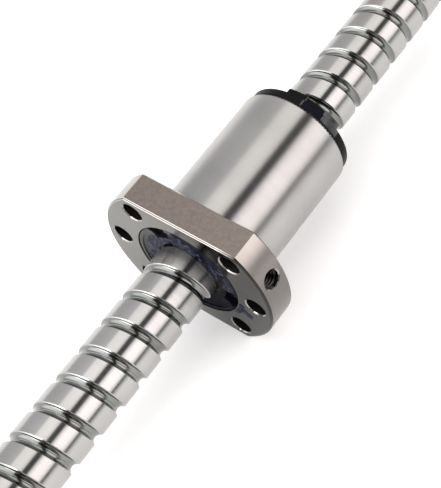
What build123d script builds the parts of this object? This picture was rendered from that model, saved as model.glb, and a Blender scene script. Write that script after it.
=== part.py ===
from build123d import *

import math
import os

os.makedirs("parts", exist_ok=True)

# Flanged ball screw nut on its screw. Millimetres.
# The screw's axis is X, the origin is the centre of the flange's front face,
# and the flange's two flats face +Z and -Z. The barrel points along +X.

# Screw and thread
screw_d = 19.7
screw_low_x = -90
screw_length = 225
screw_end_chamfer = 1
screw_run_out = 8  # how far the groove is cut past each end of the shaft
longest_stretch_turns = 5
lead = 10
ball_d = 3.175
ball_circle_d = 20.5
groove_phase_x = 0.25  # where the groove crosses the +Y side, within the first lead
groove_arc_r = 1.66
ball_clearance = 0.05
groove_bevel = 0.25

# Nut body
flange_d = 58
flange_t = 10
across_flats = 44
barrel_d = 36
body_length = 54.6
nut_bore_d = 20.8
bolt_circle_d = 47
bolt_hole_d = 6.6
bolt_hole_chamfer = 0.3
bolt_groups = (-45, 135)  # angle at which each of the two groups of bolt holes starts
bolts_in_group = 3
bolt_group_span = 90
edge_chamfer = 0.5
barrel_end_chamfer = 0.8
undercut_width = 1.2  # grinding relief where the barrel meets the flange, cut into both
undercut_depth = 0.25
undercut_face_width = 0.4
undercut_face_depth = 0.15
port_angle = 157.5
port_core_d = 5
port_depth = 9
port_sink_d = 6.4
port_sink_angle = 90
port_duct_d = 3

# Caps and the seats that they fill
front_seat_d = 35
front_seat_depth = 8
front_face_inset = 0.2
front_cap_gap = 0.3
front_seat_chamfer = 0.3
rear_seat_d = 33
rear_seat_depth = 8
rear_cap_gap = 0.1
rear_disc_d = 34.4
rear_disc_t = 2.75
cap_bore_d = 20.7
lug_height = 2.65
lug_outer_d = 31.2
lug_inner_d = 23
lug_bridge_d = 29.8  # the lugs of a pair are joined by a lower bridge
lug_pairs = (((76, 101), (124.6, 147.5)), ((256, 281), (304.6, 327.5)))
notch_angles = (57, 194.5)
notch_width_angle = 24
notch_inner_d = 26
notch_depth = 2
dish_d = 31.8
dish_depth = 0.3

# Ball return
return_wall = 2.25  # between the caps' bore and the return hole
tunnel_d = 3.4
turn_r = 4
guide_wall = 0.8
guide_lead_in = 2
guide_outer_d = 32.7
guide_clearance = 0.1
lift_beyond_seats = 0.3  # how far the loaded groove may reach into the seats, in turns
ball_pitch_min = 3.3

# Wipers
wiper_clearance = 0.15
wiper_d = 25.2
wiper_t = 1.9
wiper_seat_clearance = 0.1
front_wiper_inset = 1.1
rear_wiper_inset = 3

# What follows from the sizes above
ball_r = ball_d / 2
pitch_r = ball_circle_d / 2
return_circle_d = cap_bore_d + 2 * return_wall + tunnel_d
lead_angle = math.degrees(math.atan(lead / (math.pi * ball_circle_d)))
lift_reach = math.sqrt((return_circle_d / 2) ** 2 - pitch_r**2)
lift_angle = math.degrees(math.acos(pitch_r / (return_circle_d / 2)))
rear_seat_x = body_length - rear_seat_depth
lift_turns = 2 * lift_angle / 360
load_turns = math.floor((rear_seat_x - front_seat_depth) / lead + lift_turns + lift_beyond_seats) - lift_turns
front_lift_x = (front_seat_depth + rear_seat_x - load_turns * lead) / 2
rear_lift_x = front_lift_x + load_turns * lead


# Relief in each cap's inner face, where the loaded groove ends
relief_r = pitch_r + ball_r + ball_clearance
relief_depth = rear_lift_x + ball_r + ball_clearance - rear_seat_x

arc_offset = (groove_arc_r - ball_r - ball_clearance) / math.sqrt(2)
lead_slope = math.radians(lead_angle)
rear_end_x = body_length + rear_disc_t


def angle_at(x):
    """Angle about the axis, from +Y towards +Z, at which the groove's centre line crosses x."""
    return (x - groove_phase_x) * 360 / lead


def around(x, radius, angle):
    """Point at a distance from the axis and an angle about it."""
    return Vector(x, radius * math.cos(math.radians(angle)), radius * math.sin(math.radians(angle)))


def groove_line(start_x, turns):
    """Right-hand helix of the ball centres, from start_x towards +X."""
    helix = Edge.make_helix(lead, turns * lead, pitch_r, center=(start_x, 0, 0), normal=(1, 0, 0))
    return helix.rotate(Axis.X, angle_at(start_x) - 90)


def groove_cutter(start_x, turns, cusp_side, land_r):
    """Gothic arch with bevelled lips, swept along the groove. cusp_side is 1 for the screw, -1 for the nut."""
    path = groove_line(start_x, turns)
    start = path @ 0
    cusp = cusp_side * (arc_offset - math.sqrt(groove_arc_r**2 - arc_offset**2))
    foot = land_r - cusp_side * groove_bevel - pitch_r
    tip = land_r + cusp_side * groove_bevel - pitch_r
    half_foot = math.sqrt(groove_arc_r**2 - (foot - cusp_side * arc_offset) ** 2) - arc_offset
    half_tip = half_foot + abs(tip - foot)
    with BuildPart() as cutter:
        with BuildSketch(Plane(origin=start, x_dir=(0, start.Y, start.Z), z_dir=path % 0)):
            with BuildLine():
                RadiusArc((foot, -half_foot), (cusp, 0), cusp_side * groove_arc_r)
                RadiusArc((cusp, 0), (foot, half_foot), cusp_side * groove_arc_r)
                Polyline((foot, half_foot), (tip, half_tip), (tip, -half_tip), (foot, -half_foot))
            make_face()
        sweep(path=path, is_frenet=True)
    return cutter.part


def lift_plane(x, inwards):
    """Plane where the balls leave the groove: local x runs along the axis into the nut, y along the tangent."""
    angle = angle_at(x)
    return Plane(origin=around(x, pitch_r, angle), x_dir=(inwards, 0, 0), z_dir=around(0, 1, angle))


def lift_path(lift, run):
    """Tangent, turn and then a straight run parallel to the axis, starting at the groove."""
    with BuildLine(lift) as path:
        Line((0, 0), turn_start)
        RadiusArc(turn_start, turn_end, turn_r)
        if run:
            Line(turn_end, (turn_end[0] + run, turn_end[1]))
    return path.wire()


def ring_sector(inner_r, outer_r, start_angle, end_angle):
    """Flat piece of a ring between two angles."""
    with BuildSketch() as sector:
        with BuildLine():
            outer = CenterArc((0, 0), outer_r, start_angle, end_angle - start_angle)
            inner = CenterArc((0, 0), inner_r, start_angle, end_angle - start_angle)
            Line(outer @ 0, inner @ 0)
            Line(outer @ 1, inner @ 1)
        make_face()
    return sector.sketch


def guide_block(lift, outer_end, inner_end, clearance, inner_r):
    """Block round the lifted balls. Its ends are measured from the lift plane's origin into the nut."""
    section = Plane(origin=(lift.origin.X, 0, 0), x_dir=lift.y_dir, z_dir=lift.x_dir).offset(outer_end)
    low, high = pitch_r - guide_half - clearance, pitch_r + guide_half + clearance
    left, right = -guide_lead_in - clearance, lift_reach + guide_half + clearance
    with BuildPart() as block:
        with BuildSketch(section):
            with Locations(((left + right) / 2, (low + high) / 2)):
                Rectangle(right - left, high - low)
            Circle(guide_outer_d / 2 + clearance, mode=Mode.INTERSECT)
            if inner_r:
                Circle(inner_r, mode=Mode.SUBTRACT)
        extrude(amount=inner_end - outer_end)
    return block.part


# The balls' way out of the groove, in a lift plane
rise = lift_reach - turn_r * (1 + math.sin(lead_slope))
turn_start = (-rise * math.tan(lead_slope), rise)
turn_end = (turn_start[0] + turn_r * math.cos(lead_slope), lift_reach)
front_lift = lift_plane(front_lift_x, 1)
rear_lift = lift_plane(rear_lift_x, -1)

# A ball guide reaches from outside the turn to where the way runs straight
guide_half = tunnel_d / 2 + guide_wall
guide_outer_end = turn_end[0] - turn_r - guide_half
guide_inner_end = turn_end[0]

# Screw shaft. The groove is cut in stretches of a few turns into a longer blank, which is then trimmed.
threaded_length = screw_length + 2 * screw_run_out
stretch_count = math.ceil(threaded_length / (longest_stretch_turns * lead))
stretch_turns = threaded_length / lead / stretch_count
screw_grooves = [
    groove_cutter(screw_low_x - screw_run_out + number * stretch_turns * lead, stretch_turns, 1, screw_d / 2)
    for number in range(stretch_count)
]

with BuildPart() as screw_shaft:
    with BuildSketch(Plane.YZ.offset(screw_low_x - 2 * screw_run_out)):
        Circle(screw_d / 2)
    extrude(amount=threaded_length + 2 * screw_run_out)
    for groove in screw_grooves:
        add(groove, mode=Mode.SUBTRACT)
    with BuildSketch(Plane.XY):
        with Locations((screw_low_x + screw_length / 2, 0)):
            half_section = Rectangle(screw_length, screw_d)
        chamfer(half_section.vertices(), length=screw_end_chamfer)
        with Locations((screw_low_x + screw_length / 2, -screw_d / 2)):
            Rectangle(screw_length, screw_d, mode=Mode.SUBTRACT)
    revolve(axis=Axis.X, mode=Mode.INTERSECT)
screw_shaft.part.label = "screw_shaft"
export_step(screw_shaft.part, "parts/screw_shaft.step")

# Nut body: flange with two flats, barrel, seats for the caps, groove and ball return
nut_groove = groove_cutter(front_lift_x, load_turns, -1, nut_bore_d / 2)
front_pocket = guide_block(front_lift, guide_outer_end, guide_inner_end, guide_clearance, 0)
rear_pocket = guide_block(rear_lift, guide_outer_end, guide_inner_end, guide_clearance, 0)
return_start = front_lift.from_local_coords((turn_end[0], turn_end[1], 0))
return_length = load_turns * lead - 2 * turn_end[0]
port_mouth = Plane(
    origin=around(flange_t / 2, flange_d / 2, port_angle),
    x_dir=(1, 0, 0),
    z_dir=around(0, 1, port_angle),
)

with BuildPart() as nut_body:
    with BuildSketch(Plane.YZ):
        Circle(flange_d / 2)
        Rectangle(flange_d, across_flats, mode=Mode.INTERSECT)
    extrude(amount=flange_t)
    chamfer(nut_body.faces().filter_by(Axis.X).edges(), length=edge_chamfer)
    with BuildSketch(Plane.YZ.offset(flange_t)):
        Circle(barrel_d / 2)
    extrude(amount=body_length - flange_t)
    chamfer(nut_body.edges().group_by(Axis.X)[-1], length=barrel_end_chamfer)
    with BuildSketch(Plane.YZ.offset(flange_t - undercut_face_depth)):
        Circle(barrel_d / 2 + undercut_face_width)
        Circle(barrel_d / 2 - undercut_depth, mode=Mode.SUBTRACT)
    extrude(amount=undercut_face_depth + undercut_width, mode=Mode.SUBTRACT)
    with BuildSketch(Plane.YZ):
        for first_angle in bolt_groups:
            with PolarLocations(bolt_circle_d / 2, bolts_in_group, first_angle, bolt_group_span, endpoint=True):
                Circle(bolt_hole_d / 2)
    extrude(amount=flange_t, mode=Mode.SUBTRACT)
    hole_rims = nut_body.edges().filter_by(GeomType.CIRCLE)
    hole_rims = hole_rims.filter_by(lambda rim: math.isclose(rim.radius, bolt_hole_d / 2))
    chamfer(hole_rims, length=bolt_hole_chamfer)
    with BuildSketch(Plane.YZ):
        Circle(nut_bore_d / 2)
    extrude(amount=body_length, mode=Mode.SUBTRACT)
    with BuildSketch(Plane.YZ):
        Circle(front_seat_d / 2)
    extrude(amount=front_seat_depth, mode=Mode.SUBTRACT)
    chamfer(
        nut_body.edges().filter_by(GeomType.CIRCLE).group_by(Axis.X)[0].sort_by(SortBy.RADIUS)[-1],
        length=front_seat_chamfer,
    )
    with BuildSketch(Plane.YZ.offset(rear_seat_x)):
        Circle(rear_seat_d / 2)
    extrude(amount=rear_seat_depth, mode=Mode.SUBTRACT)
    add(nut_groove, mode=Mode.SUBTRACT)
    add(front_pocket, mode=Mode.SUBTRACT)
    add(rear_pocket, mode=Mode.SUBTRACT)
    with BuildSketch(Plane(origin=return_start, x_dir=(0, 1, 0), z_dir=(1, 0, 0))):
        Circle(tunnel_d / 2)
    extrude(amount=return_length, mode=Mode.SUBTRACT)
    with Locations(port_mouth):
        CounterSinkHole(port_core_d / 2, port_sink_d / 2, port_depth, port_sink_angle)
        Hole(port_duct_d / 2, depth=(flange_d - front_seat_d) / 2 + front_cap_gap)
nut_body.part.label = "nut_body"
export_step(nut_body.part, "parts/nut_body.step")

# Ball guides, which lift the balls off the screw and turn them into the return hole
for guide_name, lift in (("front_ball_guide", front_lift), ("rear_ball_guide", rear_lift)):
    block = guide_block(lift, guide_outer_end, guide_inner_end, 0, cap_bore_d / 2)
    way = lift_path(lift, guide_half)
    with BuildPart() as ball_guide:
        add(block)
        add(nut_groove, mode=Mode.SUBTRACT)
        with BuildSketch(Plane(origin=way @ 0, z_dir=way % 0)):
            Circle(tunnel_d / 2)
        sweep(path=way, mode=Mode.SUBTRACT)
    ball_guide.part.label = guide_name
    export_step(ball_guide.part, f"parts/{guide_name}.step")

# Front cap, sunk in the flange, with a dished face, two tool notches and the wiper's groove
front_cap_r = front_seat_d / 2 - front_cap_gap
guide_room_end = guide_outer_end - guide_clearance
front_guide_room = guide_block(front_lift, guide_room_end, guide_inner_end, guide_clearance, 0)
notches = [
    ring_sector(notch_inner_d / 2, front_seat_d, middle - notch_width_angle / 2, middle + notch_width_angle / 2)
    for middle in notch_angles
]
wiper_seat_d = wiper_d + 2 * wiper_seat_clearance
wiper_seat_t = wiper_t + 2 * wiper_seat_clearance

with BuildPart() as front_return_cap:
    with BuildSketch(Plane.YZ.offset(front_face_inset)):
        Circle(front_cap_r)
        Circle(cap_bore_d / 2, mode=Mode.SUBTRACT)
    extrude(amount=front_seat_depth - front_face_inset)
    with BuildSketch(Plane.YZ.offset(front_face_inset)):
        Circle(dish_d / 2)
    extrude(amount=dish_depth, mode=Mode.SUBTRACT)
    with BuildSketch(Plane.YZ.offset(front_face_inset)):
        add(notches)
    extrude(amount=notch_depth, mode=Mode.SUBTRACT)
    with BuildSketch(Plane.YZ.offset(front_face_inset + front_wiper_inset)):
        Circle(wiper_seat_d / 2)
    extrude(amount=wiper_seat_t, mode=Mode.SUBTRACT)
    add(front_guide_room, mode=Mode.SUBTRACT)
    with BuildSketch(Plane.YZ.offset(front_seat_depth)):
        Circle(relief_r)
    extrude(amount=-relief_depth, mode=Mode.SUBTRACT)
front_return_cap.part.label = "front_return_cap"
export_step(front_return_cap.part, "parts/front_return_cap.step")

# Rear cap: a plug in the barrel under a disc with two pairs of raised lugs
rear_guide_room = guide_block(rear_lift, guide_room_end, guide_inner_end, guide_clearance, 0)
lugs = [ring_sector(lug_inner_d / 2, lug_outer_d / 2, *angles) for pair in lug_pairs for angles in pair]
bridges = [
    ring_sector(lug_inner_d / 2, lug_bridge_d / 2, first_lug[1], second_lug[0])
    for first_lug, second_lug in lug_pairs
]

with BuildPart() as rear_return_cap:
    with BuildSketch(Plane.YZ.offset(rear_seat_x)):
        Circle(rear_seat_d / 2 - rear_cap_gap)
    extrude(amount=rear_seat_depth)
    with BuildSketch(Plane.YZ.offset(body_length)):
        Circle(rear_disc_d / 2)
    extrude(amount=rear_disc_t)
    with BuildSketch(Plane.YZ.offset(rear_end_x)):
        add(lugs)
        add(bridges)
    extrude(amount=lug_height)
    with BuildSketch(Plane.YZ.offset(rear_seat_x)):
        Circle(cap_bore_d / 2)
    extrude(amount=rear_end_x - rear_seat_x, mode=Mode.SUBTRACT)
    with BuildSketch(Plane.YZ.offset(rear_end_x - rear_wiper_inset)):
        Circle(wiper_seat_d / 2)
    extrude(amount=-wiper_seat_t, mode=Mode.SUBTRACT)
    add(rear_guide_room, mode=Mode.SUBTRACT)
    with BuildSketch(Plane.YZ.offset(rear_seat_x)):
        Circle(relief_r)
    extrude(amount=relief_depth, mode=Mode.SUBTRACT)
rear_return_cap.part.label = "rear_return_cap"
export_step(rear_return_cap.part, "parts/rear_return_cap.step")

# Wipers: felt rings that fill the grooves in the caps and brush the screw
front_wiper_x = front_face_inset + front_wiper_inset + wiper_seat_clearance
rear_wiper_x = rear_end_x - rear_wiper_inset - wiper_seat_clearance - wiper_t
for wiper_name, wiper_x in (("front_wiper", front_wiper_x), ("rear_wiper", rear_wiper_x)):
    with BuildPart() as wiper:
        with BuildSketch(Plane.YZ.offset(wiper_x)):
            Circle(wiper_d / 2)
            Circle(screw_d / 2 + wiper_clearance, mode=Mode.SUBTRACT)
        extrude(amount=wiper_t)
    wiper.part.label = wiper_name
    export_step(wiper.part, f"parts/{wiper_name}.step")

# Balls, each a cube with all edges bevelled, whose corners lie on the true ball's surface.
# They fill the whole circuit: groove, rear turn, return hole and front turn.
facet = ball_d / math.sqrt(5 + 2 * math.sqrt(2))
with BuildPart() as ball:
    Box(facet * (1 + math.sqrt(2)), facet * (1 + math.sqrt(2)), facet * (1 + math.sqrt(2)))
    chamfer(ball.edges(), length=facet / math.sqrt(2))

load_path = groove_line(front_lift_x, load_turns)
rear_turn = lift_path(rear_lift, 0)
front_turn = lift_path(front_lift, 0)
circuit_length = load_path.length + rear_turn.length + return_length + front_turn.length
ball_count = math.floor(circuit_length / ball_pitch_min)
ball_pitch = circuit_length / ball_count
turn_length = load_path.length / load_turns

ball_centres = {}
for number in range(ball_count):
    along = (number + 0.5) * ball_pitch
    if along < load_path.length:
        group = f"load_balls_turn_{math.floor(along / turn_length) + 1}"
        centre = load_path.position_at(along, PositionMode.LENGTH)
    elif along < load_path.length + rear_turn.length:
        group = "rear_turn_balls"
        centre = rear_turn.position_at(along - load_path.length, PositionMode.LENGTH)
    elif along < circuit_length - front_turn.length:
        group = "return_balls"
        left = circuit_length - front_turn.length - along
        centre = return_start + Vector(left, 0, 0)
    else:
        group = "front_turn_balls"
        centre = front_turn.position_at(circuit_length - along, PositionMode.LENGTH)
    ball_centres.setdefault(group, []).append(centre)

for group, centres in ball_centres.items():
    with BuildPart() as balls:
        with Locations(*centres):
            add(ball.part)
    balls.part.label = group
    export_step(balls.part, f"parts/{group}.step")
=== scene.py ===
import math

import bmesh
import bpy
from mathutils import Matrix, Vector, noise


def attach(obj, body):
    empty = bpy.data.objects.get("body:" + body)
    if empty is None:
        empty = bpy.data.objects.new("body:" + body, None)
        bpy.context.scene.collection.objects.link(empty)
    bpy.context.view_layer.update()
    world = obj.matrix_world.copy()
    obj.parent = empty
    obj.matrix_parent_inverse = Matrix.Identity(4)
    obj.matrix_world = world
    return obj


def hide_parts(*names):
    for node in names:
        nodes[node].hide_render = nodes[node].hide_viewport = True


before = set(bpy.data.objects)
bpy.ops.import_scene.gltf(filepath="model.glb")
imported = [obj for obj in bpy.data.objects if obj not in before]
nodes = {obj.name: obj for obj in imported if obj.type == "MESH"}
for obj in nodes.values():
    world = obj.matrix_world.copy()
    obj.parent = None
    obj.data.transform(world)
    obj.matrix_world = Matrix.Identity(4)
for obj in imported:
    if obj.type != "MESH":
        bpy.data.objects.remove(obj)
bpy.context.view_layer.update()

# Sizes of the part, in metres
mm = 0.001
screw_r = 9.85 * mm
lead = 10 * mm
pitch_r = 10.25 * mm
ball_r = 1.5875 * mm
groove_phase_x = 0.25 * mm
groove_arc_r = 1.66 * mm
arc_offset = (1.66 - 1.5875 - 0.05) / math.sqrt(2) * mm
groove_bevel = 0.25 * mm
relief_half = 0.12 * mm
relief_depth = 0.06 * mm
ripple = 0.006 * mm  # grinding lines along the groove
screw_low_x = -90 * mm
screw_high_x = 135 * mm
screw_end_chamfer = 1 * mm
steps_per_turn = 96
land_steps = 4
port_angle = math.radians(157.5)
port_thread_r = 3 * mm
port_core_r = 2.5 * mm
port_depth = 9 * mm
bolt_circle_r = 23.5 * mm
bolt_hole_r = 3.3 * mm
bolt_angles = (-45, 0, 45, 135, 180, 225)
flange_t = 10 * mm
flange_r = 29 * mm
flat_z = 22 * mm
barrel_r = 18 * mm
seat_r = 17.5 * mm
cap_face_x = 0.5 * mm
cap_bore_r = 10.35 * mm
cap_film_r = 15.85 * mm
notch_angles = (57, 194.5)
notch_half_angle = 12.5
notch_inner_r = 12.9 * mm
rear_disc_x = 55.2 * mm
lug_rim_x = 57.4 * mm
lug_side_r = 15.4 * mm
floor_z = -flat_z


def new_object(name, mesh):
    piece = bpy.data.objects.new(name, mesh)
    bpy.context.scene.collection.objects.link(piece)
    return piece


def mesh_object(name, vertices, faces):
    mesh = bpy.data.meshes.new(name)
    mesh.from_pydata(vertices, [], faces)
    mesh.update()
    mesh.polygons.foreach_set("use_smooth", [True] * len(mesh.polygons))
    return new_object(name, mesh)


def mark_sharp(mesh, angle_limit):
    """Keeps shading smooth across edges that turn less than the limit, and crisp across the others."""
    mesh.polygons.foreach_set("use_smooth", [True] * len(mesh.polygons))
    mesh.set_sharp_from_angle(angle=math.radians(angle_limit))


def welded(node_name):
    """A CAD node's own surface with its corners joined and its flat faces in one piece each."""
    source = nodes[node_name].data
    vertices = [tuple(vertex.co) for vertex in source.vertices]
    faces = [tuple(face.vertices) for face in source.polygons]
    plain = bpy.data.meshes.new("plain_copy")
    plain.from_pydata(vertices, [], faces)
    bm = bmesh.new()
    bm.from_mesh(plain)
    bpy.data.meshes.remove(plain)
    bmesh.ops.remove_doubles(bm, verts=bm.verts, dist=0.001 * mm)
    bmesh.ops.dissolve_limit(bm, angle_limit=math.radians(0.2), verts=bm.verts, edges=bm.edges)
    return bm


def finished(bm, name, materials, angle_limit=28):
    mesh = bpy.data.meshes.new(name)
    bm.to_mesh(mesh)
    bm.free()
    for material in materials:
        mesh.materials.append(material)
    mark_sharp(mesh, angle_limit)
    return new_object(name, mesh)


def distance_off(corner, axis_point, axis):
    out = corner - axis_point
    return (out - axis * out.dot(axis)).length


off_surface = 0.06  # how far a face may lean sideways from a turned surface and still belong to it


def turned_normal(face_normal, face_centre, corner, axis_point, axis):
    """Normal of a turned surface at a face's corner, or None where the face isn't on one."""
    out = face_centre - axis_point
    out = (out - axis * out.dot(axis)).normalized()
    if abs(face_normal.dot(axis.cross(out))) > off_surface:
        return None
    along = face_normal.dot(axis)
    across = face_normal.dot(out)
    out = corner - axis_point
    out = (out - axis * out.dot(axis)).normalized()
    return (axis * along + out * across).normalized()


def helix_point(turn, rho, angle_shift, x_shift):
    """Point of a line that follows the screw's groove, at its own radius, angle and place along the axis."""
    angle = 2 * math.pi * turn + angle_shift
    return (groove_phase_x + lead * turn + x_shift, rho * math.cos(angle), rho * math.sin(angle))


def groove_columns():
    """Lines of the screw's surface across one turn: groove with bevelled lips and a relief, then the land."""
    slope = math.atan(lead / (2 * math.pi * pitch_r))
    foot = screw_r - groove_bevel - pitch_r
    half_foot = math.sqrt(groove_arc_r**2 - (foot - arc_offset) ** 2) - arc_offset
    lip = half_foot + groove_bevel
    half = []
    arc_steps = 16
    end_angle = math.asin((half_foot + arc_offset) / groove_arc_r)
    start_angle = math.asin((relief_half + arc_offset) / groove_arc_r)
    for step in range(arc_steps + 1):
        a = start_angle + (end_angle - start_angle) * step / arc_steps
        r = groove_arc_r + (ripple * (step % 2) if 0 < step < arc_steps else 0)
        half.append((arc_offset - r * math.cos(a), r * math.sin(a) - arc_offset))
    half.append((screw_r - pitch_r, lip))
    bottom = (arc_offset - groove_arc_r - relief_depth, 0)
    profile = [(u, -v) for u, v in reversed(half)] + [bottom] + half
    columns = []
    for u, v in profile:
        rho = math.hypot(pitch_r + u, v * math.sin(slope))
        columns.append((rho, math.atan2(-v * math.sin(slope), pitch_r + u), v * math.cos(slope)))
    # the lip's outer line and the land lie on the screw's full radius
    rho, shift, x_shift = columns[-1]
    columns[-1] = (screw_r, shift, x_shift)
    columns[0] = (screw_r, -shift, -x_shift)
    land = []
    for step in range(1, land_steps):
        part = step / land_steps
        land.append((screw_r, shift * (1 - 2 * part), x_shift + (lead - 2 * x_shift) * part))
    return columns + land


def helical_screw(name, low_x, high_x, end_chamfer, materials):
    """The screw's shaft. The second material is the groove's, inside its bevelled lips."""
    columns = groove_columns()
    count = len(columns)
    first = math.floor((low_x - groove_phase_x) / lead) - 1
    last = math.ceil((high_x - groove_phase_x) / lead) + 1
    rows = (last - first) * steps_per_turn + 1
    vertices = []
    for row in range(rows):
        turn = first + row / steps_per_turn
        vertices += [helix_point(turn, *column) for column in columns]
    faces = []
    for row in range(rows - 1):
        for column in range(count - 1):
            a = row * count + column
            faces.append((a, a + 1, a + count + 1, a + count))
        if row + steps_per_turn + 1 < rows:
            a = row * count + count - 1
            b = (row + steps_per_turn) * count
            faces.append((a, b, b + count, a + count))
    mesh = bpy.data.meshes.new(name)
    mesh.from_pydata(vertices, [], faces)
    bm = bmesh.new()
    bm.from_mesh(mesh)
    for x, keep in ((low_x, -1), (low_x + end_chamfer, 0), (high_x - end_chamfer, 0), (high_x, 1)):
        whole = list(bm.verts) + list(bm.edges) + list(bm.faces)
        bmesh.ops.bisect_plane(
            bm, geom=whole, dist=1e-9, plane_co=(x, 0, 0), plane_no=(keep or 1, 0, 0), clear_outer=bool(keep)
        )
    for vertex in bm.verts:
        inwards = min(vertex.co.x - low_x, high_x - vertex.co.x)
        limit = screw_r - max(0, end_chamfer - inwards)
        rho = math.hypot(vertex.co.y, vertex.co.z)
        if rho > limit:
            vertex.co.y *= limit / rho
            vertex.co.z *= limit / rho
    for x in (low_x, high_x):
        rim = [e for e in bm.edges if e.is_boundary and all(abs(v.co.x - x) < 1e-7 for v in e.verts)]
        bmesh.ops.contextual_create(bm, geom=rim)
    bmesh.ops.recalc_face_normals(bm, faces=bm.faces)
    bpy.data.meshes.remove(mesh)
    # the groove's faces lie below the foot of its bevelled lips, and the shaft's ends look along X
    groove_top_r = screw_r - 0.27 * mm
    for face in bm.faces:
        centre = face.calc_center_median()
        in_groove = math.hypot(centre.y, centre.z) < groove_top_r and abs(face.normal.x) < 0.999
        face.material_index = int(in_groove)
    return finished(bm, name, materials, angle_limit=17)


def round_balls(node_name, material):
    """A round ball in the place of each low-face one."""
    bm = bmesh.new()
    bm.from_mesh(nodes[node_name].data)
    bmesh.ops.remove_doubles(bm, verts=bm.verts, dist=0.001 * mm)
    centres = []
    left = set(bm.verts)
    while left:
        island, edge_of_island = set(), [next(iter(left))]
        while edge_of_island:
            vertex = edge_of_island.pop()
            if vertex not in island:
                island.add(vertex)
                edge_of_island += [edge.other_vert(vertex) for edge in vertex.link_edges]
        left -= island
        centres.append(sum((vertex.co for vertex in island), Vector()) / len(island))
    bm.free()
    bm = bmesh.new()
    for centre in sorted(centres, key=tuple):
        bmesh.ops.create_icosphere(bm, subdivisions=3, radius=ball_r, matrix=Matrix.Translation(centre))
    return finished(bm, node_name + "_round", [material], angle_limit=80)


# Materials


class Nodes:
    """A material's node tree, with short ways to add and join nodes."""

    def __init__(self, name):
        self.material = bpy.data.materials.new(name)
        self.material.use_nodes = True
        self.tree = self.material.node_tree
        self.shader = self.tree.nodes["Principled BSDF"]
        self.place = self.add("ShaderNodeTexCoord").outputs["Object"]

    def add(self, kind, **values):
        node = self.tree.nodes.new(kind)
        for key, value in values.items():
            setattr(node, key, value)
        return node

    def join(self, output, socket):
        self.tree.links.new(output, socket)

    def scaled_place(self, scale):
        mapping = self.add("ShaderNodeMapping")
        mapping.inputs["Scale"].default_value = scale
        self.join(self.place, mapping.inputs["Vector"])
        return mapping.outputs["Vector"]

    def noise(self, scale, stretch=(1, 1, 1), detail=3, roughness=0.5):
        node = self.add("ShaderNodeTexNoise")
        node.inputs["Scale"].default_value = scale
        node.inputs["Detail"].default_value = detail
        node.inputs["Roughness"].default_value = roughness
        self.join(self.scaled_place(stretch), node.inputs["Vector"])
        return node.outputs["Fac"]

    def ramp(self, value, *stops):
        node = self.add("ShaderNodeValToRGB")
        while len(node.color_ramp.elements) < len(stops):
            node.color_ramp.elements.new(0.5)
        for element, (position, colour) in zip(node.color_ramp.elements, stops):
            element.position = position
            element.color = (*colour, 1)
        self.join(value, node.inputs["Fac"])
        return node.outputs["Color"]

    def to_range(self, value, low, high, from_low=0.3, from_high=0.7):
        node = self.add("ShaderNodeMapRange")
        node.inputs["From Min"].default_value = from_low
        node.inputs["From Max"].default_value = from_high
        node.inputs["To Min"].default_value = low
        node.inputs["To Max"].default_value = high
        self.join(value, node.inputs["Value"])
        return node.outputs["Result"]

    def along(self, axis, low, high):
        """From 0 to 1 as the place along X, Y or Z goes from low to high."""
        node = self.add("ShaderNodeSeparateXYZ")
        self.join(self.place, node.inputs["Vector"])
        return self.to_range(node.outputs[axis], 0, 1, low, high)

    def mixed(self, share, first, second):
        node = self.add("ShaderNodeMix", data_type="RGBA")
        self.join(share, node.inputs[0])
        self.join(first, node.inputs[6])
        self.join(second, node.inputs[7])
        return node.outputs[2]

    def brushed_round_x(self, amount):
        """Stretches the gloss along the axis, across the fine marks that grinding leaves round it."""
        self.shader.inputs["Anisotropic"].default_value = amount
        self.shader.inputs["Anisotropic Rotation"].default_value = 0.25
        tangent = self.add("ShaderNodeTangent", direction_type="RADIAL", axis="X")
        self.join(tangent.outputs["Tangent"], self.shader.inputs["Tangent"])

    def bump(self, height, strength, distance):
        node = self.add("ShaderNodeBump")
        node.inputs["Strength"].default_value = strength
        node.inputs["Distance"].default_value = distance
        self.join(height, node.inputs["Height"])
        self.join(node.outputs["Normal"], self.shader.inputs["Normal"])


def ground_steel(name, dark, light, rough_low, rough_high, brushed=0, painted_shade=None, depth=0.06, grain=60):
    """Ground steel: fine marks round the axis, a slow change of tone and a satin gloss.

    The argument for painted shade is an axis, the places on it where its darker tone starts and is full, and
    how dark that is.
    depth is the strength of the marks, and grain the scale of the change of tone.
    """
    n = Nodes(name)
    n.shader.inputs["Metallic"].default_value = 1
    marks = n.noise(900, (1, 0.02, 0.02), 4, 0.7)
    tone = n.noise(grain, (1, 1, 1), 3, 0.5)
    colour = n.ramp(tone, (0.3, dark), (0.7, light))
    if painted_shade:
        # a darker copy of the tone along the axis: painted shade
        axis, begin, full, share = painted_shade
        cover = n.along(axis, begin, full)
        shade_dark, shade_light = [[c * share for c in tint] for tint in (dark, light)]
        colour = n.mixed(cover, colour, n.ramp(tone, (0.3, shade_dark), (0.7, shade_light)))
    n.join(colour, n.shader.inputs["Base Color"])
    n.join(n.to_range(marks, rough_low, rough_high), n.shader.inputs["Roughness"])
    if brushed:
        n.brushed_round_x(brushed)
    n.bump(marks, depth, 0.02 * mm)
    return n.material


def moulded_plastic(name, dark, light, rough_low, rough_high, ior=1.5):
    n = Nodes(name)
    n.shader.inputs["IOR"].default_value = ior
    grain = n.noise(2500, (1, 1, 1), 3, 0.6)
    tone = n.noise(150, (1, 1, 1), 3, 0.5)
    n.join(n.ramp(tone, (0.3, dark), (0.7, light)), n.shader.inputs["Base Color"])
    n.join(n.to_range(tone, rough_low, rough_high), n.shader.inputs["Roughness"])
    n.bump(grain, 0.15, 0.02 * mm)
    return n.material


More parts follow.
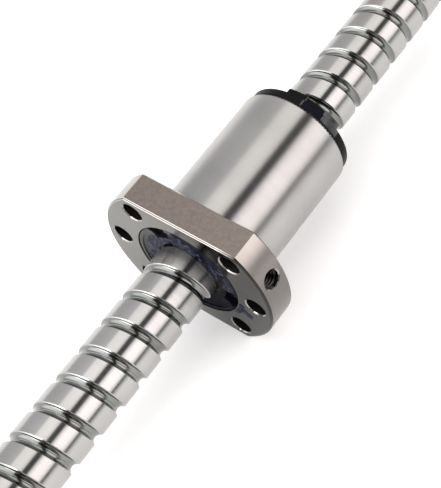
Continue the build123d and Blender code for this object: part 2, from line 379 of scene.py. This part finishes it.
nut_steel = ground_steel(
    "nut_ground_steel", (0.35, 0.34, 0.333), (0.4, 0.388, 0.38), 0.27, 0.32, brushed=0.9, depth=0.03
)
# The rim's tone goes darker towards -Y: painted shade.
rim_steel = ground_steel(
    "rim_brown_steel", (0.36, 0.328, 0.303), (0.41, 0.377, 0.352), 0.3, 0.38,
    brushed=0.8, painted_shade=("Y", -22 * mm, -27 * mm, 0.42),
)
flat_steel = ground_steel(
    "flat_brown_steel", (0.17, 0.143, 0.129), (0.215, 0.184, 0.168), 0.28, 0.36, grain=1300
)
# The front face goes darker towards -Y, beside the screw: painted shade.
front_steel = ground_steel(
    "front_grey_steel", (0.145, 0.14, 0.132), (0.178, 0.172, 0.162), 0.13, 0.19,
    painted_shade=("Y", 3 * mm, -16 * mm, 0.25),
)
# Near-black steel inside the bolt holes and the port: painted shade.
hole_steel = ground_steel("hole_dark_steel", (0.03, 0.027, 0.024), (0.06, 0.052, 0.047), 0.4, 0.55)
# Near-black port thread with glossy crests: painted shade inside the port.
thread_steel = ground_steel("thread_steel", (0.014, 0.013, 0.012), (0.034, 0.032, 0.03), 0.16, 0.24)
bore_steel = ground_steel("bore_steel", (0.23, 0.222, 0.215), (0.3, 0.292, 0.285), 0.3, 0.4)
screw_steel = ground_steel(
    "screw_ground_steel", (0.385, 0.377, 0.37), (0.43, 0.423, 0.415), 0.2, 0.26, brushed=0.9
)
# The groove's steel is darker than the lands': painted shade in the groove.
groove_steel = ground_steel(
    "groove_ground_steel", (0.17, 0.174, 0.166), (0.24, 0.244, 0.236), 0.12, 0.18, depth=0.9
)
ball_steel = ground_steel("ball_steel", (0.55, 0.55, 0.55), (0.6, 0.6, 0.6), 0.05, 0.08)
cap_plastic = moulded_plastic(
    "cap_black_plastic", (0.006, 0.006, 0.007), (0.016, 0.016, 0.018), 0.14, 0.22, 1.25
)
# A darker, less glossy copy of the black plastic: painted shade on the front cap's dim side and between the
# rear cap's lugs.
shaded_plastic = moulded_plastic(
    "cap_shaded_plastic", (0.004, 0.004, 0.007), (0.012, 0.012, 0.02), 0.2, 0.3, 1.06
)
rear_plastic = moulded_plastic(
    "rear_cap_plastic", (0.005, 0.005, 0.005), (0.011, 0.011, 0.011), 0.3, 0.45, 1.12
)
# Brighter, glossier plastic on the rear cap's bevels and on one lug's edge: painted highlights.
rear_edge = moulded_plastic("rear_cap_edges", (0.03, 0.03, 0.03), (0.06, 0.06, 0.06), 0.2, 0.3, 1.45)
# A lighter, mottled grey, used on the face of the rear cap's second lug.
mottled_grey_plastic = moulded_plastic(
    "mottled_grey_plastic", (0.02, 0.021, 0.021), (0.16, 0.16, 0.16), 0.4, 0.55, 1.25
)
guide_plastic = moulded_plastic("guide_black_plastic", (0.02, 0.02, 0.02), (0.03, 0.03, 0.03), 0.4, 0.5)
felt = moulded_plastic("felt_grey", (0.1, 0.1, 0.09), (0.2, 0.19, 0.18), 0.8, 0.95)


def edge_light_and_shade(name):
    """Steel of the narrow chamfers: painted highlights along both edges, and painted shade, darker, towards
    the port's side.
    """
    n = Nodes(name)
    n.shader.inputs["Metallic"].default_value = 1
    n.shader.inputs["Roughness"].default_value = 0.25
    bare, middle_tone, shade_tone = (0.55, 0.52, 0.5), (0.15, 0.135, 0.125), (0.05, 0.045, 0.042)
    # bright bands along both edges of the chamfer: painted highlights
    across = n.ramp(n.along("X", 0, 0.5 * mm), (0.1, bare), (0.3, middle_tone), (0.7, middle_tone), (0.9, bare))
    # darker towards -Y, the port's side: painted shade
    side = n.along("Y", -13 * mm, -19 * mm)
    painted_shade = n.ramp(side, (0, shade_tone), (1, [c * 0.8 for c in shade_tone]))
    n.join(n.mixed(side, across, painted_shade), n.shader.inputs["Base Color"])
    n.bump(n.noise(900, (1, 1, 1), 3, 0.6), 0.05, 0.02 * mm)
    return n.material


def hole_lips(name, axis, low, high, dark, light):
    """Steel of small bright chamfers, at the holes and the barrel's end, whose tone changes along an axis:
    painted light.
    """
    n = Nodes(name)
    n.shader.inputs["Metallic"].default_value = 1
    n.shader.inputs["Roughness"].default_value = 0.2
    n.join(n.ramp(n.along(axis, low, high), (0, dark), (1, light)), n.shader.inputs["Base Color"])
    n.bump(n.noise(900, (1, 1, 1), 3, 0.6), 0.05, 0.02 * mm)
    return n.material


def blue_grease(name):
    """Blue grease: a wet film with dark and pale blotches; the pale blotches are painted highlights."""
    n = Nodes(name)
    blotch = n.noise(950, (1, 1, 1), 5, 0.7)
    dark, navy, pale_glint = (0.001, 0.001, 0.003), (0.01, 0.012, 0.026), (0.075, 0.084, 0.13)
    n.join(n.ramp(blotch, (0.44, dark), (0.52, navy), (0.63, pale_glint)), n.shader.inputs["Base Color"])
    n.join(n.to_range(blotch, 0.2, 0.45), n.shader.inputs["Roughness"])
    n.shader.inputs["IOR"].default_value = 1.12
    n.bump(n.noise(1800, (1, 1, 1), 4, 0.6), 0.7, 0.08 * mm)
    return n.material


edge_steel = edge_light_and_shade("edge_light_and_shade")
# lighter towards +Z and darker towards -Z: painted shade
lip_steel = hole_lips("hole_lips", "Z", -30 * mm, 30 * mm, (0.27, 0.26, 0.25), (0.36, 0.345, 0.335))
# the seat's chamfer is dark, with a painted highlight on its lowest part
seat_lip_steel = hole_lips("seat_lip", "Z", -10 * mm, -14 * mm, (0.02, 0.018, 0.016), (0.75, 0.73, 0.7))
grease = blue_grease("blue_grease")

node_materials = {
    "nut_body": nut_steel,
    "screw_shaft": screw_steel,
    "front_return_cap": cap_plastic,
    "rear_return_cap": cap_plastic,
    "front_ball_guide": guide_plastic,
    "rear_ball_guide": guide_plastic,
    "front_wiper": felt,
    "rear_wiper": felt,
}
for name, node in nodes.items():
    node.data.materials.clear()
    node.data.materials.append(node_materials.get(name, ball_steel))


def dress(piece, body, slot, *node_names):
    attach(piece, body)
    if node_names:
        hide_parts(*node_names)
    return piece


# Screw
screw = helical_screw("screw", screw_low_x, screw_high_x, screw_end_chamfer, [screw_steel, groove_steel])
dress(screw, "screw", "screw_steel", "screw_shaft")

# Balls
for name in sorted(nodes):
    if "balls" in name:
        dress(round_balls(name, ball_steel), "nut", "ball_steel", name)

# Nut body: the CAD surface with the grease port opened to the thread's outer size
axis_x = Vector((1, 0, 0))
origin = Vector((0, 0, 0))
port_axis = Vector((0, math.cos(port_angle), math.sin(port_angle)))
port_point = Vector((flange_t / 2, 0, 0))
bolt_points = [
    Vector((0, bolt_circle_r * math.cos(math.radians(a)), bolt_circle_r * math.sin(math.radians(a))))
    for a in bolt_angles
]
BARREL, RIM, FLAT, FRONT, HOLE, BORE, EDGE, LIP, SEAT_LIP = range(9)
nut_finishes = [
    nut_steel, rim_steel, flat_steel, front_steel, hole_steel, bore_steel, edge_steel, lip_steel,
    seat_lip_steel,
]
port_reach = 3.3 * mm
bolt_reach = 3.8 * mm


def part_of_nut(centre, normal):
    """Which finish a face of the nut has."""
    rho = math.hypot(centre.y, centre.z)
    from_port = distance_off(centre, port_point, port_axis)
    if from_port < port_reach and centre.dot(port_axis) > 0 and rho > barrel_r:
        return LIP if 0.3 < abs(normal.dot(port_axis)) < 0.95 else HOLE
    from_bolt = min(distance_off(centre, point, axis_x) for point in bolt_points)
    if 0.4 < abs(normal.x) < 0.95 and (rho > seat_r or centre.x < 1 * mm):
        if from_bolt < bolt_hole_r + 0.3 * mm or centre.x > 50 * mm:
            return LIP
        return SEAT_LIP if rho < seat_r + 0.3 * mm else EDGE
    if from_bolt < bolt_hole_r + 0.02 * mm:
        return HOLE
    if abs(normal.x) > 0.999 and centre.x < flange_t + 0.01 * mm and (rho > seat_r or centre.x < 0.02 * mm):
        return FRONT
    if rho < seat_r + 0.05 * mm and centre.x < 54 * mm:
        return BORE
    if centre.x > flange_t + 0.01 * mm:
        return BARREL
    return FLAT if abs(normal.z) > 0.999 else RIM


bm = welded("nut_body")
for vertex in bm.verts:
    off = distance_off(vertex.co, port_point, port_axis)
    if abs(off - port_core_r) < 0.02 * mm and vertex.co.dot(port_axis) > flange_r - port_depth - 1 * mm:
        foot = port_point + port_axis * (vertex.co - port_point).dot(port_axis)
        vertex.co = foot + (vertex.co - foot) * (port_thread_r / off)
for face in bm.faces:
    face.material_index = part_of_nut(face.calc_center_median(), face.normal)
nut = finished(bm, "nut", nut_finishes, 25)
nut_mesh = nut.data
corner_normals = [corner.vector.copy() for corner in nut_mesh.corner_normals]
for face in nut_mesh.polygons:
    normal, centre = Vector(face.normal), Vector(face.center)
    corners = [nut_mesh.vertices[index].co for index in face.vertices]
    if abs(normal.z) > 0.9999 or abs(normal.x) > 0.9999:
        for index in face.loop_indices:
            corner_normals[index] = normal
        continue
    axis = (origin, axis_x)
    at_port = all(distance_off(corner, port_point, port_axis) < port_reach for corner in corners)
    if at_port and centre.dot(port_axis) > 0:
        axis = (port_point, port_axis)
    for point in bolt_points:
        if all(distance_off(corner, point, axis_x) < bolt_reach for corner in corners):
            axis = (point, axis_x)
    for index, corner in zip(face.loop_indices, corners):
        exact = turned_normal(normal, centre, corner, *axis)
        if exact is not None:
            corner_normals[index] = exact
nut_mesh.normals_split_custom_set(corner_normals)
dress(nut, "nut", "nut_steel", "nut_body")


# Thread of the grease port: a ridge with flat crests, wound inwards from the countersink
def thread_ridge(name, pitch, turns, crest_r, root_r, start_depth, material):
    side = Vector((1, 0, 0))
    up = port_axis.cross(side)
    rim = port_point + port_axis * flange_r
    section = ((root_r, -0.44), (crest_r, -0.07), (crest_r, 0.07), (root_r, 0.44))
    steps, fade_steps = 48, 16
    vertices, faces = [], []
    for row in range(turns * steps + 1):
        angle = 2 * math.pi * row / steps
        depth = start_depth + pitch * row / steps
        out = side * math.cos(angle) - up * math.sin(angle)
        fade = min(1, row / fade_steps, (turns * steps - row) / fade_steps)
        for r, along in section:
            radius = root_r + (r - root_r) * fade
            vertices.append(tuple(rim - port_axis * (depth + along * pitch) + out * radius))
    for row in range(turns * steps):
        for column in range(4):
            a, b = row * 4 + column, row * 4 + (column + 1) % 4
            faces.append((a, b, b + 4, a + 4))
    faces += [(3, 2, 1, 0), tuple(turns * steps * 4 + column for column in range(4))]
    mesh = bpy.data.meshes.new(name)
    mesh.from_pydata(vertices, [], faces)
    bm = bmesh.new()
    bm.from_mesh(mesh)
    bmesh.ops.recalc_face_normals(bm, faces=bm.faces)
    bpy.data.meshes.remove(mesh)
    return finished(bm, name, [material], 25)


thread = thread_ridge(
    "port_thread", 1 * mm, 7, port_core_r, port_thread_r + 0.02 * mm, 0.9 * mm, thread_steel
)
dress(thread, "nut", "nut_steel")


# Caps with softened edges
def softened(node_name, piece_name, width, materials, finish_of, cut_angles, cut_places=()):
    """A cap with bevelled edges, cut at angles about X and places on it, so that each face has one finish."""
    bm = welded(node_name)
    edges = [e for e in bm.edges if len(e.link_faces) == 2 and e.calc_face_angle(0) > math.radians(35)]
    bmesh.ops.bevel(
        bm, geom=edges, offset=width, segments=2, profile=0.5, affect="EDGES", clamp_overlap=True
    )
    bmesh.ops.triangulate(bm, faces=bm.faces)
    for angle in cut_angles:
        turn = math.radians(angle)
        whole = list(bm.verts) + list(bm.edges) + list(bm.faces)
        bmesh.ops.bisect_plane(bm, geom=whole, dist=1e-9, plane_no=(0, -math.sin(turn), math.cos(turn)))
    for place in cut_places:
        whole = list(bm.verts) + list(bm.edges) + list(bm.faces)
        bmesh.ops.bisect_plane(bm, geom=whole, dist=1e-9, plane_co=(place, 0, 0), plane_no=(1, 0, 0))
    for face in bm.faces:
        centre = face.calc_center_median()
        angle = math.degrees(math.atan2(centre.z, centre.y)) % 360
        face.material_index = finish_of(centre, face.normal, angle)
    return finished(bm, piece_name, materials, 40)


front_shade = (78, 290)  # angles between which the front cap has the darker, less glossy plastic: painted shade
lug_edge, gap_end, lug_end = (99.7, 101.2), 124.6, 148  # angles on the rear cap


def front_cap_finish(centre, normal, angle):
    return int(front_shade[0] < angle < front_shade[1])


def rear_cap_finish(centre, normal, angle):
    # Finish 1 is the mottled grey of the second lug, 2 the brighter edges with painted highlights, and 3 the
    # darker plastic with painted shade between the lugs.
    if math.hypot(centre.y, centre.z) > lug_side_r and centre.x > rear_disc_x:
        if gap_end < angle < lug_end:
            return 1
        if lug_edge[0] < angle < lug_edge[1]:
            return 2
        if lug_edge[1] < angle < gap_end:
            return 3
    return 2 if 0.3 < abs(normal.x) < 0.9 and centre.x > lug_rim_x else 0


front_cap = softened(
    "front_return_cap", "front_cap", 0.1 * mm, [cap_plastic, shaded_plastic], front_cap_finish,
    (front_shade[0], front_shade[1] - 180),
)
dress(front_cap, "nut", "cap_plastic", "front_return_cap")
rear_cap = softened(
    "rear_return_cap", "rear_cap", 0.12 * mm, [rear_plastic, mottled_grey_plastic, rear_edge, shaded_plastic],
    rear_cap_finish, (*lug_edge, gap_end, lug_end), (rear_disc_x,),
)
dress(rear_cap, "nut", "cap_plastic", "rear_return_cap")


# Grease: a thin uneven film on the cap's face, and a smear on the flange below the lower notch
def blob(y, z, centre_y, centre_z, reach):
    return max(0, 1 - math.hypot(y - centre_y * mm, z - centre_z * mm) / (reach * mm))


def film(name, face_x, blobs, low_r, high_r, thickness, bare):
    """Film on a face towards -X. blobs are places (y, z, reach) in millimetres; bare cuts it off."""
    cell = 0.11 * mm
    count = round(2 * high_r / cell)
    heights = {}
    for row in range(count + 1):
        for column in range(count + 1):
            y, z = -high_r + row * cell, -high_r + column * cell
            cover = max((blob(y, z, *place) for place in blobs), default=0)
            if cover <= 0 or not low_r < math.hypot(y, z) < high_r or bare(y, z):
                continue
            uneven = noise.fractal(Vector((y, z, 0)) * 900, 0.8, 2.1, 4)
            uneven += 0.5 * noise.noise(Vector((y, z, 3)) * 350)
            # the film is whole in the middle of a blob, and the noise tears it towards the edge
            heights[row, column] = min(1, 2.2 * cover) * 0.9 - 0.22 + 0.35 * uneven
    vertices, faces, index = [], [], {}
    for row, column in heights:
        corners = [(row, column), (row + 1, column), (row + 1, column + 1), (row, column + 1)]
        if any(corner not in heights for corner in corners):
            continue
        if max(heights[corner] for corner in corners) <= 0:
            continue
        for corner in corners:
            if corner not in index:
                index[corner] = len(vertices)
                y, z = -high_r + corner[0] * cell, -high_r + corner[1] * cell
                lift = max(-0.04 * mm, min(1, heights[corner]) * thickness)
                vertices.append((face_x - lift, y, z))
        faces.append(tuple(index[corner] for corner in corners))
    piece = mesh_object(name, vertices, faces)
    piece.data.materials.append(grease)
    return piece


def in_notch(y, z):
    angle = math.degrees(math.atan2(z, y)) % 360
    return math.hypot(y, z) > notch_inner_r and any(abs(angle - a) < notch_half_angle for a in notch_angles)


cap_blobs = (
    (11.9, 2.6, 2.6), (12.3, -2.0, 2.2), (10.2, 6.4, 3.0), (11.6, 4.6, 2.6), (9.2, 8.6, 1.8),
    (5.6, 12.3, 3.2), (4.2, 15.0, 1.6), (7.2, 9.2, 2.2), (3.2, 11.6, 2.6), (1.0, 12.6, 2.4),
    (-1.4, 12.4, 2.2), (-3.8, 10.6, 2.2), (-5.6, 9.6, 2.2), (-7.6, 8.4, 2.2), (-9.0, 6.6, 2.0),
    (-9.8, 4.8, 1.4), (-14.4, 5.2, 1.9), (-14.6, 2.6, 2.0), (-13.4, 0.4, 1.7), (9.8, -3.2, 1.6),
    (14.2, -4.6, 1.2), (-8.4, 1.8, 2.2), (-12.2, 8.6, 2.2),
)
cap_film = film("cap_grease", cap_face_x, cap_blobs, cap_bore_r + 0.05 * mm, cap_film_r, 0.14 * mm, in_notch)
dress(cap_film, "nut", "cap_plastic")
flange_blobs = (
    (-15.8, -8.2, 1.8), (-17.0, -6.4, 2.0), (-18.2, -4.2, 1.6), (-19.2, -6.4, 1.7), (-20.9, -7.6, 1.5),
    (-22.5, -7.4, 1.2),
)
flange_film = film(
    "flange_grease", 0, flange_blobs, seat_r + 0.35 * mm, 23 * mm, 0.08 * mm, lambda y, z: False
)
dress(flange_film, "nut", "cap_plastic")

# Floor, brighter near the part and darker further out: a painted pool of light
floor_material = Nodes("pale_floor")
floor_far = floor_material.add("ShaderNodeVectorMath", operation="LENGTH")
floor_material.join(floor_material.place, floor_far.inputs[0])
floor_shade = floor_material.to_range(floor_far.outputs["Value"], 0, 1, 0.12, 0.5)
floor_material.join(
    floor_material.ramp(floor_shade, (0, (0.93, 0.93, 0.93)), (1, (0.62, 0.62, 0.62))),
    floor_material.shader.inputs["Base Color"],
)
floor_material.shader.inputs["Roughness"].default_value = 0.7
floor_material.shader.inputs["Emission Color"].default_value = (1, 1, 1, 1)
floor_material.shader.inputs["Emission Strength"].default_value = 0.26
half = 3
corners = [(-half, -half, floor_z), (half, -half, floor_z), (half, half, floor_z), (-half, half, floor_z)]
floor = mesh_object("floor", corners, [(0, 1, 2, 3)])
floor.data.materials.append(floor_material.material)

# Light: a soft tent of panels that run along X. Each stop is an angle about the X axis, from +Y towards +Z,
# with the panel's brightness and tint there. Towards -X the tent is brighter.
panels = (
    (-180, 0.62, (1, 1, 1)),
    (-90, 0.7, (1, 1, 1)),
    (-8, 0.62, (1, 1, 1)),
    (20, 0.58, (1, 1, 1)),
    (38, 0.62, (1, 1, 1)),
    (61, 0.74, (1, 0.99, 0.98)),
    (65, 1.35, (1, 0.98, 0.95)),
    (92, 1.5, (1, 0.98, 0.95)),
    (101, 1.3, (1, 0.97, 0.95)),
    (104, 0.08, (1, 1, 1)),
    (119, 0.08, (1, 1, 1)),
    (123, 1.3, (1, 0.96, 0.96)),
    (134, 2.1, (1, 0.95, 0.95)),
    (156, 2.0, (1, 0.95, 0.94)),
    (166, 1.3, (1, 0.97, 0.96)),
    (169, 0.14, (1, 1, 1)),
    (174, 0.14, (1, 1, 1)),
    (177, 0.55, (1, 1, 1)),
    (180, 0.62, (1, 1, 1)),
)
# The same for light that comes from the -X half of the room, which the groove and the chamfers show
front_panels = (
    (-180, 0.45, (1, 1, 1)),
    (-90, 0.6, (1, 1, 1)),
    (-35, 0.35, (1, 1, 1)),
    (-10, 1.2, (1, 1, 1)),
    (20, 2.2, (1, 1, 1)),
    (60, 2.2, (1, 1, 1)),
    (88, 1.7, (1, 1, 1)),
    (94, 0.03, (1, 0.9, 0.85)),
    (134, 0.03, (1, 0.9, 0.85)),
    (139, 0.45, (0.96, 1, 0.98)),
    (148, 0.18, (0.96, 1, 0.98)),
    (170, 0.15, (1, 1, 1)),
    (180, 0.45, (1, 1, 1)),
)
brightest = 3.0
room_gain = 1.3
world = bpy.data.worlds.new("studio")
bpy.context.scene.world = world
world.use_nodes = True
sky = world.node_tree


def sky_node(kind, **values):
    node = sky.nodes.new(kind)
    for key, value in values.items():
        setattr(node, key, value)
    return node


def sky_range(value, from_low, from_high, low, high):
    node = sky_node("ShaderNodeMapRange", interpolation_type="SMOOTHSTEP")
    limits = {"From Min": from_low, "From Max": from_high, "To Min": low, "To Max": high}
    for socket, number in limits.items():
        node.inputs[socket].default_value = number
    sky.links.new(value, node.inputs["Value"])
    return node.outputs["Result"]


def sky_product(first, second):
    node = sky_node("ShaderNodeMath", operation="MULTIPLY")
    sky.links.new(first, node.inputs[0])
    sky.links.new(second, node.inputs[1])
    return node.outputs["Value"]


def ring_of_panels(stops):
    ramp = sky_node("ShaderNodeValToRGB")
    while len(ramp.color_ramp.elements) < len(stops):
        ramp.color_ramp.elements.new(0.5)
    for element, (angle, level, tint) in zip(ramp.color_ramp.elements, stops):
        element.position = (angle + 180) / 360
        element.color = [level / brightest * share for share in tint] + [1]
    sky.links.new(place.outputs["Result"], ramp.inputs["Fac"])
    return ramp.outputs["Color"]


direction = sky_node("ShaderNodeSeparateXYZ")
sky.links.new(sky_node("ShaderNodeTexCoord").outputs["Generated"], direction.inputs["Vector"])
about_axis = sky_node("ShaderNodeMath", operation="ARCTAN2")
sky.links.new(direction.outputs["Z"], about_axis.inputs[0])
sky.links.new(direction.outputs["Y"], about_axis.inputs[1])
place = sky_node("ShaderNodeMapRange")
place.inputs["From Min"].default_value = -math.pi
place.inputs["From Max"].default_value = math.pi
sky.links.new(about_axis.outputs["Value"], place.inputs["Value"])
both = sky_node("ShaderNodeMix", data_type="RGBA")
sky.links.new(sky_range(direction.outputs["X"], -0.05, -0.4, 0, 1), both.inputs[0])
sky.links.new(ring_of_panels(panels), both.inputs[6])
sky.links.new(ring_of_panels(front_panels), both.inputs[7])
front_end = sky_range(direction.outputs["X"], -0.86, -0.93, brightest * room_gain, 3 * brightest * room_gain)
back_end = sky_range(direction.outputs["X"], 0.65, 0.9, 1, 0.25)
background = sky.nodes["Background"]
sky.links.new(both.outputs[2], background.inputs["Color"])
sky.links.new(sky_product(front_end, back_end), background.inputs["Strength"])

# Camera, at the photograph's place
camera_place = (-129.41 * mm, -146.65 * mm, 310.81 * mm)
camera_turn = (32.397, 6.507, -54.684)
image_long_side = 488
focal_pixels = 1289.93

camera_data = bpy.data.cameras.new("camera")
camera_data.sensor_width = 36
camera_data.lens = 36 * focal_pixels / image_long_side
camera_data.clip_start = 0.01
camera_data.clip_end = 20
camera = new_object("camera", camera_data)
camera.location = camera_place
camera.rotation_euler = [math.radians(turn) for turn in camera_turn]
bpy.context.scene.camera = camera

bpy.context.scene.view_settings.view_transform = "Standard"
